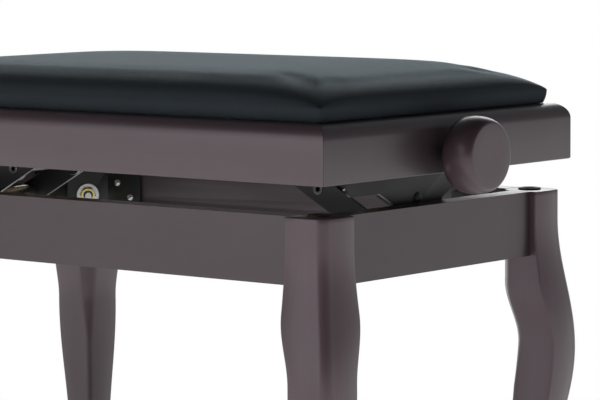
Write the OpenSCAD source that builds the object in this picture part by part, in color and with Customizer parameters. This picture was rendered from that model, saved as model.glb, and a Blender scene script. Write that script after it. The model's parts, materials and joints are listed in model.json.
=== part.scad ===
// Height-adjustable piano bench: a four-legged wooden base, a double scissor lift worked by a
// threaded spindle with a knob at each end, and an upholstered seat in a mitred wooden rim.
// The bench stands on z = 0 with its length along X; the seat is drawn at its stored height.

/* [Base frame] */
// Length of the base, over the legs
base_l = 560; // [500:10:700]
// Depth of the base, over the legs
base_w = 330; // [310:5:420]
// Height of the leg tops above the floor
base_h = 370; // [350:5:420]
// Height of the apron boards
apron_h = 55; // [54:1:62]
// Thickness of the apron boards
apron_t = 20; // [18:1:22]
// How far the aprons stand back from the outer faces of the legs
apron_setback = 6; // [3:1:8]

/* [Legs] */
// Side of the square block at the top of a leg
leg_s = 40; // [38:1:46]
// Radius of the outer corner of a leg
leg_corner_r = 9; // [5:1:12]
// Chamfer on the inner corner of the block, which faces the corner bracket
leg_chamfer = 12; // [8:1:14]
// How far the knee bulges out beyond the block
knee_out = 11; // [4:1:16]
// Depth of the knee below the leg top
knee_drop = 137; // [125:1:150]
// How far the outer face of the ankle stands in from the block's outer face
ankle_in = 7; // [0:1:12]
// Depth of the ankle below the leg top
ankle_drop = 275; // [240:5:300]
// Thickness of the leg at the ankle
ankle_s = 28; // [26:0.5:38]
// How far the foot kicks out beyond the block
foot_out = 3; // [0:1:8]
// Thickness of the leg at the foot
foot_s = 36; // [30:1:40]
// Diameter of the black plug in each leg top
plug_d = 19.5; // [16:0.5:24]
// How far the plug stands above the leg top
plug_proud = 1.6; // [1:0.2:3]
// Diameter of the glide under each foot
glide_d = 24; // [18:1:28]
// Height of the glide under each foot
glide_h = 3; // [2:0.5:5]

/* [Corner joints] */
// Thickness of the folded corner brackets
bracket_t = 2.5; // [2:0.5:3]
// Height of the corner brackets
bracket_h = 42; // [38:1:46]
// Depth of the brackets' top edge below the leg tops
bracket_drop = 5; // [3:1:7]
// Gap between the leg's chamfer and the bracket, closed up by the hanger bolt
bracket_gap = 9; // [5:1:10]
// Length of each bracket flange along its apron
flange_l = 42; // [38:1:44]
// Diameter of the hanger bolts
hanger_d = 8; // [6:1:8]
// Depth of the hanger bolts' axes below the leg tops
hanger_drop = 30; // [26:1:32]
// Diameter of the wood screws' round heads
screw_head_d = 7; // [6:0.5:8]
// Diameter of the wood screws' shanks
screw_d = 3.5; // [3:0.5:4]
// Length of the wood screws in the wood
screw_l = 12; // [8:1:14]

/* [Seat] */
// Length of the seat rim
rim_l = 570; // [530:10:720]
// Depth of the seat rim
rim_w = 342; // [320:2:440]
// Height of the rim boards
rim_h = 48; // [46:1:60]
// Thickness of the rim boards
rim_t = 20; // [16:1:24]
// Radius of the rim's rounded top edge
rim_round = 13; // [4:1:15]
// Gap between the base and the rim at the stored height
seat_gap = 26; // [22:1:40]
// Thickness of the plywood seat board
board_t = 12; // [9:1:15]
// How far the cushion stands in from the rim's outer faces
pad_inset = 14; // [6:1:16]
// Height of the cushion's edge
pad_edge = 12; // [6:1:14]
// Height of the cushion at its crown
pad_crown = 39; // [28:1:55]

/* [Lift] */
// Distance between the hinge pin and the cross bar of a main arm
arm_reach = 130; // [126:1:140]
// Width of the arms and links
arm_w = 22.5; // [20:0.5:24]
// Thickness of the arms and links
arm_t = 3; // [2.5:0.5:3]
// Distance of each main arm's middle plane from the centreline
arm_y = 40; // [38:1:46]
// Depth of the hinge pins below the leg tops
hinge_drop = 21.6; // [20:0.1:23]
// Distance of the hinge pins from the side aprons' inner faces
hinge_inset = 21; // [20:0.5:24]
// Height of the spindle's axis above the rim's bottom edge
spindle_up = 15; // [13:1:16]
// Diameter of the hinge pins and of the cross bars' ends
pin_d = 10; // [8:1:10]
// Diameter of the tubular axle in the middle of a scissor
axle_d = 8; // [6:1:9]
// Bore of that tubular axle
axle_bore_d = 4; // [3:0.5:4.5]
// Distance that the cross bars move outwards from the stored height
carriage_out = 60; // [56:1:61]
// Distance that the cross bars move inwards from the stored height
carriage_in = 9; // [8:1:12]
// Thickness of the rails under the seat board
rail_t = 3; // [2.5:0.5:3]
// Height of the rails under the seat board
rail_h = 32; // [30:1:34]
// Width of the rails' fixing flanges
rail_flange = 18; // [16:1:22]

/* [Spindle] */
// Diameter of the threaded spindle
spindle_d = 12; // [10:1:12]
// Diameter of the knobs
knob_d = 64; // [50:1:68]
// Thickness of the knobs
knob_t = 29; // [24:1:36]
// Gap between the rim and the back of a knob
knob_gap = 9; // [6:1:14]
// Diameter of the knobs' flat outer faces
knob_face_d = 52; // [40:1:56]
// Diameter of the knobs' backs
knob_back_d = 55; // [44:1:60]
// Distance of a knob's widest line from its back
knob_wide_at = 13; // [8:1:18]
// Depth of the hole in a knob that the spindle's end goes into
knob_bore = 20; // [14:1:22]
// Diameter of the clearance hole through the rim for the spindle
rim_hole_d = 20; // [16:1:24]
// Thickness of the end plates that carry the spindle
plate_t = 2.5; // [2:0.5:3]
// Half the width of the end plates
plate_half_w = 94; // [80:1:110]
// Half the width of the end plates' tongues
tongue_half_w = 34; // [28:1:34]
// Depth of the tongues below the rim's bottom edge
tongue_drop = 34; // [28:1:36]

/* [Hidden] */
$fn = 64;

// clearances
run_fit = 0.05;      // radial, where one piece turns in another
slot_fit = 0.1;      // radial, where the cross bars slide in the rails
hole_fit = 0.2;      // radial, round screws, bolts and plugs
side_gap = 0.5;      // beside an arm, between it and the link
rail_gap = 1.5;      // beside an arm, between it and the rail or hinge ear
end_play = 0.3;      // endways, beside a head, bush or collar
rim_clear = 2;       // least, between an end plate's flange and the rim

// colours
wood_colour = "#5d5153";
black_colour = "#22262a";
velour_colour = "#2c353b";
steel_colour = "#a9adb1";
yellow_colour = "#b9a64a";

// base frame
half_l = base_l / 2;
half_w = base_w / 2;
apron_in_x = half_l - apron_setback - apron_t;
apron_in_y = half_w - apron_setback - apron_t;
leg_in_x = half_l - leg_s;
leg_in_y = half_w - leg_s;

// legs: the curve's stations, as depths below the leg top
leg_h = base_h - glide_h;
knee_run = 113;
outer_start = knee_drop - knee_run;
shoulder_below = 22;
inner_start = apron_h + shoulder_below;
inner_knee = knee_drop - 3;
taper_run = 94;
ring_step = 9;
edge_r = 0.8;
inner_cut_least = 1;
top_chamfer = 0.8;
plug_edge = 0.7;
plug_stem_d = 10;
plug_stem_l = 12;
glide_edge = 1;
glide_stem_d = 5;
glide_stem_l = 14;
foot_centre = leg_s + foot_out - foot_s / 2;

// corner joints
chamfer_sum = leg_in_x + leg_in_y + leg_chamfer;
bracket_sum = chamfer_sum - bracket_gap * sqrt(2);
bend_x = bracket_sum - apron_in_y;
bend_y = bracket_sum - apron_in_x;
bracket_low = bracket_drop + bracket_h;
screw_steps = [[13.5, 18], [30, 31]];  // [distance from the bend, depth below the leg top]
washer_d = 22;
washer_t = 1.6;
nut_across = 13;
nut_t = 6.5;
hanger_in_leg = 26;
hanger_tail = 5;
screw_head_h = 2.4;

// lift: the hinge pins stand clear inside the base, and the end plates clear inside the rim
rim_in_x = rim_l / 2 - rim_t;
plate_flange = 13;
plate_room = arm_w / 2 + rail_gap + plate_flange + rim_clear;
hinge_x = min(apron_in_x - hinge_inset, rim_in_x - plate_room);
hinge_z = base_h - hinge_drop;
spindle_z = base_h + seat_gap + spindle_up;
// the stored angle follows from the stored gap
lift_angle = asin((spindle_z - hinge_z) / arm_reach);
carriage_x = hinge_x - arm_reach * cos(lift_angle);
axle_x = (hinge_x + carriage_x) / 2;
axle_z = (hinge_z + spindle_z) / 2;
arm_r = arm_w / 2;
arm_out = arm_y + arm_t / 2;
arm_in = arm_y - arm_t / 2;
link_y = arm_in - side_gap - arm_t / 2;
ear_in = arm_out + rail_gap;
ear_t = 3;
ear_r = 9;
ear_rise = 1;
ear_fall = 24;
ear_top = hinge_drop + ear_rise;
ear_low = hinge_drop + ear_fall;
hinge_plate_t = 3;
hinge_plate_half = 58;
pin_head_r = pin_d / 2 + 3;
pin_head_t = 2.5;
pin_end = ear_in + ear_t + end_play;
spacer_r = pin_d / 2 + 3;
axle_head_r = axle_d / 2 + 1;
axle_head_t = 0.9;
link_head = 2;
link_head_t = 1.5;
link_tail = 1.5;
link_tail_t = 1;
hinge_screw_in = 3;
hinge_screw_z = [ear_top + hinge_screw_in, ear_low];
hinge_screw_gap = 6;
hinge_screw_y = ear_in + ear_t + hinge_screw_gap;
hinge_plate_over = 6;

// seat
rim_low = base_h + seat_gap;
rim_top = rim_low + rim_h;
board_low = rim_top - board_t;
board_l = rim_l - 2 * rim_t;
board_w = rim_w - 2 * rim_t;
pad_l = rim_l - 2 * pad_inset;
pad_w = rim_w - 2 * pad_inset;
rim_edge = 1.2;
dome_rise = pad_crown - pad_edge;

// rails under the seat board
rail_in = ear_in;
rail_low = board_low - rail_h;
plate_in = hinge_x + arm_r + rail_gap;
rail_end = plate_in - end_play;
slot_from = carriage_x - carriage_in - pin_d / 2;
slot_to = carriage_x + carriage_out + pin_d / 2;
link_pin_d = axle_d;
rail_screw_in = 40;
rail_screw_mid = 30;
rail_screw_x = [rail_end - rail_screw_in, rail_screw_mid];

// end plates and spindle
plate_corner_r = 6;
shoulder_z = rim_low - 16;
shoulder_to = tongue_half_w + 18;
tongue_top = shoulder_z - 9;
tongue_low = rim_low - tongue_drop;
plate_screw_y = plate_half_w - 20;
plate_screw_in = plate_t + 5;
rivet_z = rim_low - 23.5;
rivet_head_r = 5.5;
rivet_face_r = 3;
rivet_head_t = 1.8;
rivet_shank_r = rivet_head_r / 2;
rivet_tail_r = rivet_head_r - 1.5;
rivet_tail_t = 1.2;
bush_r = spindle_d / 2 + 3;
bush_flange_r = bush_r + 2.5;
bush_flange_t = 1.5;
bush_proud = 3;
collar_r = spindle_d / 2 + 4;
collar_t = 7;
block_l = 24;
block_h = 20;
nut_r = spindle_d / 2 + 3;
nut_flange = 2;
bar_end = rail_in + rail_t + 2.5;
knob_in = rim_l / 2 + knob_gap;
knob_out = knob_in + knob_t;
spindle_end = knob_in + knob_bore;

// ---------- shared shapes ----------

// puts a piece drawn for the back right corner at the corner with the given signs
module corner(sx, sy) {
    mirror([sx < 0 ? 1 : 0, 0, 0]) mirror([0, sy < 0 ? 1 : 0, 0]) children();
}

// puts a piece drawn for the right end at the end with the given sign
module end(sx) {
    mirror([sx < 0 ? 1 : 0, 0, 0]) children();
}

// puts a piece drawn for the back at the side with the given sign
module side(sy) {
    mirror([0, sy < 0 ? 1 : 0, 0]) children();
}

module at_corners() {
    for (sx = [-1, 1], sy = [-1, 1]) corner(sx, sy) children();
}

module cyl_x(r, from, to, y, z) {
    translate([from, y, z]) rotate([0, 90, 0]) cylinder(r = r, h = to - from);
}

module cyl_y(r, from, to, x, z) {
    translate([x, from, z]) rotate([-90, 0, 0]) cylinder(r = r, h = to - from);
}

function ease(t) = (1 - cos(180 * min(1, max(0, t)))) / 2;
function ease_from(a, b, t) = a + (b - a) * ease(t);

// joins a stack of rings, listed upwards and each counter-clockwise from above, into a closed solid
module skin(rings) {
    n = len(rings[0]);
    last = len(rings) - 1;
    points = [for (ring = rings) each ring];
    sides = [for (k = [0 : last - 1], i = [0 : n - 1]) let (j = (i + 1) % n)
        each [[k * n + i, (k + 1) * n + i, k * n + j],
              [k * n + j, (k + 1) * n + i, (k + 1) * n + j]]];
    floor_face = [for (i = [0 : n - 1]) i];
    top_face = [for (i = [n - 1 : -1 : 0]) last * n + i];
    polyhedron(points, concat(sides, [floor_face, top_face]));
}

// round-headed wood screw along +Z, its head seated on z = 0
module wood_screw() {
    dome_r = (pow(screw_head_d / 2, 2) + pow(screw_head_h, 2)) / (2 * screw_head_h);
    intersection() {
        translate([0, 0, -screw_head_h]) cylinder(d = screw_head_d, h = screw_head_h);
        translate([0, 0, dome_r - screw_head_h]) sphere(r = dome_r);
    }
    cylinder(d = screw_d, h = screw_l);
}

module screw_hole() {
    translate([0, 0, -0.5]) cylinder(r = screw_d / 2 + hole_fit, h = screw_l + 1);
}

// ---------- base ----------

// how far the leg's outer and inner faces have moved outwards at depth d below the leg top
function leg_outer(d) =
    d < knee_drop ? ease_from(0, knee_out, (d - outer_start) / (knee_drop - outer_start)) :
    d < ankle_drop ? ease_from(knee_out, -ankle_in, (d - knee_drop) / (ankle_drop - knee_drop)) :
    ease_from(-ankle_in, foot_out, (d - ankle_drop) / (leg_h - ankle_drop));
ankle_inner = leg_s - ankle_in - ankle_s;
foot_inner = leg_s + foot_out - foot_s;
function leg_inner(d) =
    d < inner_knee ? ease_from(0, knee_out, (d - inner_start) / (inner_knee - inner_start)) :
    d < ankle_drop ? ease_from(knee_out, ankle_inner, (d - inner_knee) / (ankle_drop - inner_knee)) :
    ease_from(ankle_inner, foot_inner, (d - ankle_drop) / (leg_h - ankle_drop));
// the chamfer on the inner corner narrows below the block, down to a sharp corner
function leg_inner_cut(d) =
    leg_chamfer + (inner_cut_least - leg_chamfer) * min(1, max(0, (d - inner_start) / taper_run));

function arc(cx, cy, r, from, to, steps) =
    [for (i = [0 : steps]) let (a = from + (to - from) * i / steps) [cx + r * cos(a), cy + r * sin(a)]];

// the leg's outline at depth d, with its block's inner corner at the origin
function leg_ring(d, grow) =
    let (lo = leg_inner(d) - grow, hi = leg_s + leg_outer(d) + grow, cut = leg_inner_cut(d))
    concat(
        [[lo + cut, lo]],
        arc(hi - edge_r, lo + edge_r, edge_r, -90, 0, 2),
        arc(hi - leg_corner_r, hi - leg_corner_r, leg_corner_r, 0, 90, 5),
        arc(lo + edge_r, hi - edge_r, edge_r, 90, 180, 2),
        [[lo, lo + cut]]);

function leg_depths() =
    let (n = round(leg_h / ring_step)) [leg_h, for (i = [n - 1 : -1 : 1]) i * leg_h / n, top_chamfer, 0];

module leg_blank() {
    translate([leg_in_x, leg_in_y, base_h])
        skin([for (d = leg_depths()) [for (p = leg_ring(d, d == 0 ? -top_chamfer : 0)) [p[0], p[1], -d]]]);
}

// runs its children along the hanger bolt's axis: z = 0 on the bracket's inner face, +Z into the leg
module on_hanger() {
    across = (bracket_sum - bracket_t * sqrt(2)) / 2;
    off = (leg_in_x - leg_in_y) / 2;
    translate([across + off, across - off, base_h - hanger_drop])
        rotate([0, 90, 45]) children();
}

hanger_reach = bracket_t + bracket_gap + hanger_in_leg;

module leg(sx, sy) {
    color(wood_colour) corner(sx, sy) difference() {
        leg_blank();
        translate([leg_in_x + leg_s / 2, leg_in_y + leg_s / 2, base_h - plug_stem_l - 1])
            cylinder(r = plug_stem_d / 2 + hole_fit, h = plug_stem_l + 2);
        translate([leg_in_x + foot_centre, leg_in_y + foot_centre, glide_h - 1])
            cylinder(r = glide_stem_d / 2 + hole_fit, h = glide_stem_l + 2);
        on_hanger() cylinder(r = hanger_d / 2 + hole_fit, h = hanger_reach + 1);
    }
}

module leg_plugs() {
    color(black_colour) at_corners() translate([leg_in_x + leg_s / 2, leg_in_y + leg_s / 2, base_h]) {
        cylinder(d = plug_d, h = plug_proud - plug_edge);
        translate([0, 0, plug_proud - plug_edge])
            cylinder(d1 = plug_d, d2 = plug_d - 2 * plug_edge, h = plug_edge);
        translate([0, 0, -plug_stem_l]) cylinder(d = plug_stem_d, h = plug_stem_l + 0.1);
    }
}

module foot_glides() {
    color(black_colour) at_corners()
        translate([leg_in_x + foot_centre, leg_in_y + foot_centre, 0]) {
            cylinder(d1 = glide_d - 2 * glide_edge, d2 = glide_d, h = glide_h);
            translate([0, 0, glide_h - 0.1]) cylinder(d = glide_stem_d, h = glide_stem_l);
        }
}

// children run along +Z into the long apron, at each screw of one bracket flange
module on_long_flange() {
    for (s = screw_steps)
        translate([bend_x - s[0], apron_in_y - bracket_t, base_h - s[1]]) rotate([-90, 0, 0]) children();
}

module on_side_flange() {
    for (s = screw_steps)
        translate([apron_in_x - bracket_t, bend_y - s[0], base_h - s[1]]) rotate([0, 90, 0]) children();
}

// children run along +Z into the side apron, at each screw of one hinge bracket
module on_hinge_plate() {
    for (y = [-1, 1] * hinge_screw_y, z = hinge_screw_z)
        translate([apron_in_x - hinge_plate_t, y, base_h - z]) rotate([0, 90, 0]) children();
}

module apron_long(sy) {
    color(wood_colour) side(sy) difference() {
        translate([-leg_in_x, apron_in_y, base_h - apron_h]) cube([2 * leg_in_x, apron_t, apron_h]);
        for (sx = [-1, 1]) end(sx) on_long_flange() screw_hole();
    }
}

module apron_side(sx) {
    color(wood_colour) end(sx) difference() {
        translate([apron_in_x, -leg_in_y, base_h - apron_h]) cube([apron_t, 2 * leg_in_y, apron_h]);
        for (sy = [-1, 1]) side(sy) on_side_flange() screw_hole();
        on_hinge_plate() screw_hole();
    }
}

// folded plate: a flange on each apron and a face across the corner
module corner_bracket(sx, sy) {
    slant = bracket_t * (sqrt(2) - 1);
    color(black_colour) corner(sx, sy) difference() {
        translate([0, 0, base_h - bracket_low]) linear_extrude(bracket_h) polygon([
            [bend_x - flange_l, apron_in_y], [bend_x, apron_in_y], [apron_in_x, bend_y],
            [apron_in_x, bend_y - flange_l], [apron_in_x - bracket_t, bend_y - flange_l],
            [apron_in_x - bracket_t, bend_y - slant], [bend_x - slant, apron_in_y - bracket_t],
            [bend_x - flange_l, apron_in_y - bracket_t]]);
        on_long_flange() screw_hole();
        on_side_flange() screw_hole();
        on_hanger() translate([0, 0, -1]) cylinder(r = hanger_d / 2 + hole_fit, h = bracket_t + 2);
    }
}

module hanger_bolts() {
    tail = washer_t + nut_t + hanger_tail;
    color(steel_colour) at_corners() on_hanger()
        translate([0, 0, -tail]) cylinder(d = hanger_d, h = tail + hanger_reach);
}

module hanger_washers() {
    color(steel_colour) at_corners() on_hanger() translate([0, 0, -washer_t]) difference() {
        cylinder(d = washer_d, h = washer_t);
        translate([0, 0, -1]) cylinder(r = hanger_d / 2 + hole_fit, h = washer_t + 2);
    }
}

module hanger_nuts() {
    color(yellow_colour) at_corners() on_hanger() translate([0, 0, -washer_t - nut_t]) difference() {
        cylinder(d = nut_across / cos(30), h = nut_t, $fn = 6);
        translate([0, 0, -1]) cylinder(r = hanger_d / 2 + run_fit, h = nut_t + 2);
    }
}

module bracket_screws() {
    color(steel_colour) at_corners() {
        on_long_flange() wood_screw();
        on_side_flange() wood_screw();
    }
}

// ---------- lift, lower end ----------

module hinge_bracket(sx) {
    plate_x = apron_in_x - hinge_plate_t;
    color(black_colour) end(sx) difference() {
        union() {
            translate([plate_x, -hinge_plate_half, base_h - ear_low - hinge_plate_over])
                cube([hinge_plate_t, 2 * hinge_plate_half, ear_low - ear_top + 2 * hinge_plate_over]);
            for (sy = [-1, 1]) side(sy) translate([0, ear_in, 0]) {
                cyl_y(ear_r, 0, ear_t, hinge_x, hinge_z);
                translate([0, ear_t, 0]) rotate([90, 0, 0]) linear_extrude(ear_t) polygon([
                    [hinge_x, hinge_z + ear_r], [plate_x, base_h - ear_top], [plate_x, base_h - ear_low],
                    [hinge_x - ear_r / 2, hinge_z - ear_r * sqrt(3) / 2]]);
            }
        }
        cyl_y(pin_d / 2 + run_fit, -hinge_plate_half, hinge_plate_half, hinge_x, hinge_z);
        on_hinge_plate() screw_hole();
    }
}

module hinge_bracket_screws() {
    color(steel_colour) for (sx = [-1, 1]) end(sx) on_hinge_plate() wood_screw();
}

module hinge_pin(sx) {
    color(steel_colour) end(sx) {
        cyl_y(pin_d / 2, -pin_end, pin_end, hinge_x, hinge_z);
        for (sy = [-1, 1]) side(sy)
            cyl_y(pin_head_r, pin_end, pin_end + pin_head_t, hinge_x, hinge_z);
    }
}

// ---------- lift, arms and links ----------

// flat bar with round ends from one point to another in the XZ plane, its middle plane at y
module bar(from, to, y) {
    run = norm(to - from);
    turn = atan2(to[1] - from[1], to[0] - from[0]);
    translate([from[0], y - arm_t / 2, from[1]]) rotate([0, -turn, 0]) {
        cyl_y(arm_r, 0, arm_t, 0, 0);
        cyl_y(arm_r, 0, arm_t, run, 0);
        translate([0, 0, -arm_r]) cube([run, arm_t, arm_w]);
    }
}

module main_arm(sx, sy) {
    color(black_colour) end(sx) side(sy) difference() {
        bar([hinge_x, hinge_z], [carriage_x, spindle_z], arm_y);
        cyl_y(pin_d / 2 + run_fit, arm_in - 1, arm_out + 1, hinge_x, hinge_z);
        cyl_y(pin_d / 2 + run_fit, arm_in - 1, arm_out + 1, carriage_x, spindle_z);
        cyl_y(axle_d / 2, arm_in - 1, arm_out + 1, axle_x, axle_z);
    }
}

module link(sx, sy) {
    color(black_colour) end(sx) side(sy) difference() {
        bar([axle_x, axle_z], [hinge_x, spindle_z], link_y);
        cyl_y(axle_d / 2 + run_fit, link_y - arm_t, link_y + arm_t, axle_x, axle_z);
        cyl_y(link_pin_d / 2 + run_fit, link_y - arm_t, link_y + arm_t, hinge_x, spindle_z);
    }
}

// tube on the hinge pin that keeps the two main arms apart
module arm_spacer(sx) {
    color(steel_colour) end(sx) difference() {
        cyl_y(spacer_r, -arm_in, arm_in, hinge_x, hinge_z);
        cyl_y(pin_d / 2 + run_fit, -arm_in - 1, arm_in + 1, hinge_x, hinge_z);
    }
}

// tubular axle in the middle of the scissor, riveted over the main arms' outer faces
module scissor_axle(sx) {
    color(steel_colour) end(sx) difference() {
        union() {
            cyl_y(axle_d / 2, -arm_out, arm_out, axle_x, axle_z);
            for (sy = [-1, 1]) side(sy)
                cyl_y(axle_head_r, arm_out, arm_out + axle_head_t, axle_x, axle_z);
        }
        cyl_y(axle_bore_d / 2, -arm_out - 2, arm_out + 2, axle_x, axle_z);
    }
}

// bar across the scissor's upper end, with a block in the middle for the spindle's nut
module cross_bar(sx) {
    color(black_colour) end(sx) difference() {
        union() {
            cyl_y(pin_d / 2, -bar_end, bar_end, carriage_x, spindle_z);
            translate([carriage_x - block_l / 2, -block_l / 2, spindle_z - block_h / 2])
                cube([block_l, block_l, block_h]);
        }
        cyl_x(nut_r, carriage_x - block_l, carriage_x + block_l, 0, spindle_z);
    }
}

module spindle_nut(sx) {
    color(yellow_colour) end(sx) difference() {
        union() {
            cyl_x(nut_r, carriage_x - block_l / 2, carriage_x + block_l / 2, 0, spindle_z);
            cyl_x(nut_r + nut_flange, carriage_x + block_l / 2, carriage_x + block_l / 2 + nut_flange, 0, spindle_z);
        }
        cyl_x(spindle_d / 2 + run_fit, carriage_x - block_l, carriage_x + block_l, 0, spindle_z);
    }
}

// ---------- seat ----------

// board along X with the rounded outer top edge at the back, cut to mitres at both ends
module rim_board(length, depth) {
    difference() {
        translate([-length / 2, 0, 0]) rotate([90, 0, 90]) linear_extrude(length) difference() {
            polygon([[depth - rim_t, rim_low], [depth - rim_edge, rim_low], [depth, rim_low + rim_edge],
                     [depth, rim_top], [depth - rim_t, rim_top]]);
            difference() {
                translate([depth - rim_round, rim_top - rim_round]) square(rim_round + 1);
                translate([depth - rim_round, rim_top - rim_round]) circle(r = rim_round);
            }
        }
        for (sx = [-1, 1]) end(sx) translate([length / 2, depth, rim_low - 1])
            rotate([0, 0, -45]) translate([0, -2 * rim_t, 0]) cube([2 * rim_t, 4 * rim_t, rim_h + 2]);
    }
}

module rim_long(sy) {
    color(wood_colour) side(sy) rim_board(rim_l, rim_w / 2);
}

module rim_side(sx) {
    color(wood_colour) end(sx) difference() {
        rotate([0, 0, -90]) rim_board(rim_w, rim_l / 2);
        cyl_x(rim_hole_d / 2, rim_l / 2 - rim_t - 1, rim_l / 2 + 1, 0, spindle_z);
    }
}

module seat_board() {
    color("#8f7c66") difference() {
        translate([-board_l / 2, -board_w / 2, board_low]) cube([board_l, board_w, board_t]);
        on_rail_flanges() screw_hole();
        on_plate_flanges() screw_hole();
    }
}

// The cushion's top is the dome t = sqrt((1 - |u|^5) * (1 - |v|^5.4)), with u and v the shares of its
// half length and half depth; the ring at level t is the dome's outline at that height.
dome_u = 5;
dome_v = 5.4;
dome_levels = [0.05, 0.3, 0.5, 0.66, 0.8, 0.9, 0.96, 0.99];
dome_steps = [0, 0.06, 0.15, 0.3, 0.5, 0.7, 0.85, 0.94];
function dome_quarter(t) = [for (s = dome_steps)
    [pow(1 - pow(t * t, 1 - s), 1 / dome_u), pow(1 - pow(t * t, s), 1 / dome_v)]];
function dome_ring(t) =
    let (q = dome_quarter(t), n = len(q))
    concat(
        [for (p = q) [p[0], p[1]]],
        [[0, dome_quarter_top(t)], for (i = [n - 1 : -1 : 1]) [-q[i][0], q[i][1]]],
        [for (p = q) [-p[0], -p[1]]],
        [[0, -dome_quarter_top(t)], for (i = [n - 1 : -1 : 1]) [q[i][0], -q[i][1]]]);
function dome_quarter_top(t) = pow(1 - t * t, 1 / dome_v);
function pad_ring(t, z) = [for (p = dome_ring(t)) [p[0] * pad_l / 2, p[1] * pad_w / 2, z]];

// closed pad: a flat bottom, upright edges and a crowned top
module cushion() {
    color(velour_colour) skin(concat(
        [pad_ring(dome_levels[0], rim_top)],
        [for (t = dome_levels) pad_ring(t, rim_top + pad_edge + t * dome_rise)]));
}

// children run along +Z up into the seat board, at each screw of the rails' flanges
module on_rail_flanges() {
    for (sx = [-1, 1], sy = [-1, 1], x = rail_screw_x)
        translate([sx * x, sy * (rail_in + rail_t + rail_flange / 2), board_low - rail_t]) children();
}

module seat_rail(sy) {
    color(black_colour) side(sy) difference() {
        union() {
            translate([-rail_end, rail_in, rail_low]) cube([2 * rail_end, rail_t, rail_h]);
            translate([-rail_end, rail_in, board_low - rail_t])
                cube([2 * rail_end, rail_t + rail_flange, rail_t]);
        }
        for (sx = [-1, 1]) end(sx) {
            for (x = [slot_from + pin_d / 2, slot_to - pin_d / 2])
                cyl_y(pin_d / 2 + slot_fit, rail_in - 1, rail_in + rail_t + 1, x, spindle_z);
            translate([slot_from + pin_d / 2, rail_in - 1, spindle_z - pin_d / 2 - slot_fit])
                cube([slot_to - slot_from - pin_d, rail_t + 2, pin_d + 2 * slot_fit]);
            cyl_y(link_pin_d / 2, rail_in - 1, rail_in + rail_t + 1, hinge_x, spindle_z);
        }
        on_rail_flanges() screw_hole();
    }
}

module rail_screws() {
    color(steel_colour) on_rail_flanges() wood_screw();
}

// short pins riveted into the rails, which the links turn on
module link_pins() {
    head_out = link_y - arm_t / 2 - end_play;
    rail_out = rail_in + rail_t;
    color(steel_colour) at_corners() {
        cyl_y(link_pin_d / 2, head_out, rail_out, hinge_x, spindle_z);
        cyl_y(link_pin_d / 2 + link_head, head_out - link_head_t, head_out, hinge_x, spindle_z);
        cyl_y(link_pin_d / 2 + link_tail, rail_out, rail_out + link_tail_t, hinge_x, spindle_z);
    }
}

// ---------- end plates and spindle ----------

module on_plate_flanges() {
    for (sx = [-1, 1]) end(sx) for (y = [-1, 1] * plate_screw_y)
        translate([plate_in + plate_screw_in, y, board_low - plate_t]) children();
}

// half of the end plate's outline below the flange, from the top outer corner down to the tongue
function plate_half() = concat(
    [[plate_half_w, board_low]],
    arc(plate_half_w - plate_corner_r, shoulder_z + plate_corner_r, plate_corner_r, 0, -90, 6),
    [[shoulder_to, shoulder_z], [tongue_half_w, tongue_top], [tongue_half_w, tongue_low]]);

module end_plate(sx) {
    half = plate_half();
    other = [for (i = [len(half) - 1 : -1 : 0]) [-half[i][0], half[i][1]]];
    color(black_colour) end(sx) difference() {
        union() {
            translate([plate_in, 0, 0]) rotate([90, 0, 90]) linear_extrude(plate_t)
                polygon(concat(half, other));
            translate([plate_in, -plate_half_w, board_low - plate_t])
                cube([plate_flange, 2 * plate_half_w, plate_t]);
        }
        cyl_x(bush_r, plate_in - 1, plate_in + plate_t + 1, 0, spindle_z);
        cyl_x(rivet_shank_r + run_fit, plate_in - 1, plate_in + plate_t + 1, 0, rivet_z);
        on_plate_flanges() screw_hole();
    }
}

module end_plate_screws() {
    color(steel_colour) on_plate_flanges() wood_screw();
}

module tongue_rivets() {
    plate_out = plate_in + plate_t;
    color(black_colour) for (sx = [-1, 1]) end(sx) {
        cyl_x(rivet_tail_r, plate_in - rivet_tail_t, plate_in, 0, rivet_z);
        cyl_x(rivet_shank_r, plate_in, plate_out, 0, rivet_z);
        translate([plate_out, 0, rivet_z]) rotate([0, 90, 0])
            cylinder(r1 = rivet_head_r, r2 = rivet_face_r, h = rivet_head_t);
    }
}

module spindle_bushes() {
    color("#d8d6cc") for (sx = [-1, 1]) end(sx) difference() {
        union() {
            cyl_x(bush_r, plate_in, plate_in + plate_t + bush_proud, 0, spindle_z);
            cyl_x(bush_flange_r, plate_in - bush_flange_t, plate_in, 0, spindle_z);
        }
        cyl_x(spindle_d / 2 + run_fit, plate_in - 3, plate_in + plate_t + 5, 0, spindle_z);
    }
}

module spindle() {
    color(steel_colour) cyl_x(spindle_d / 2, -spindle_end, spindle_end, 0, spindle_z);
}

// collars on the spindle, just inside the end plates, which keep it from sliding endways
module spindle_collars() {
    collar_out = plate_in - bush_flange_t - end_play;
    color(steel_colour) for (sx = [-1, 1]) end(sx) difference() {
        cyl_x(collar_r, collar_out - collar_t, collar_out, 0, spindle_z);
        cyl_x(spindle_d / 2, collar_out - collar_t - 1, collar_out + 1, 0, spindle_z);
    }
}

// knob's outline as [distance from the back, radius], from its back to its face
knob_face_r = knob_face_d / 2;
knob_back_r = knob_back_d / 2;
function knob_rise() = [for (i = [0 : 8]) let (a = 90 * i / 8)
    [knob_wide_at * (1 - cos(a)), knob_back_r + (knob_d / 2 - knob_back_r) * sin(a)]];
function knob_fall() = [for (i = [1 : 8]) let (a = 90 * i / 8)
    [knob_wide_at + (knob_t - knob_wide_at) * sin(a), knob_face_r + (knob_d / 2 - knob_face_r) * cos(a)]];

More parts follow.
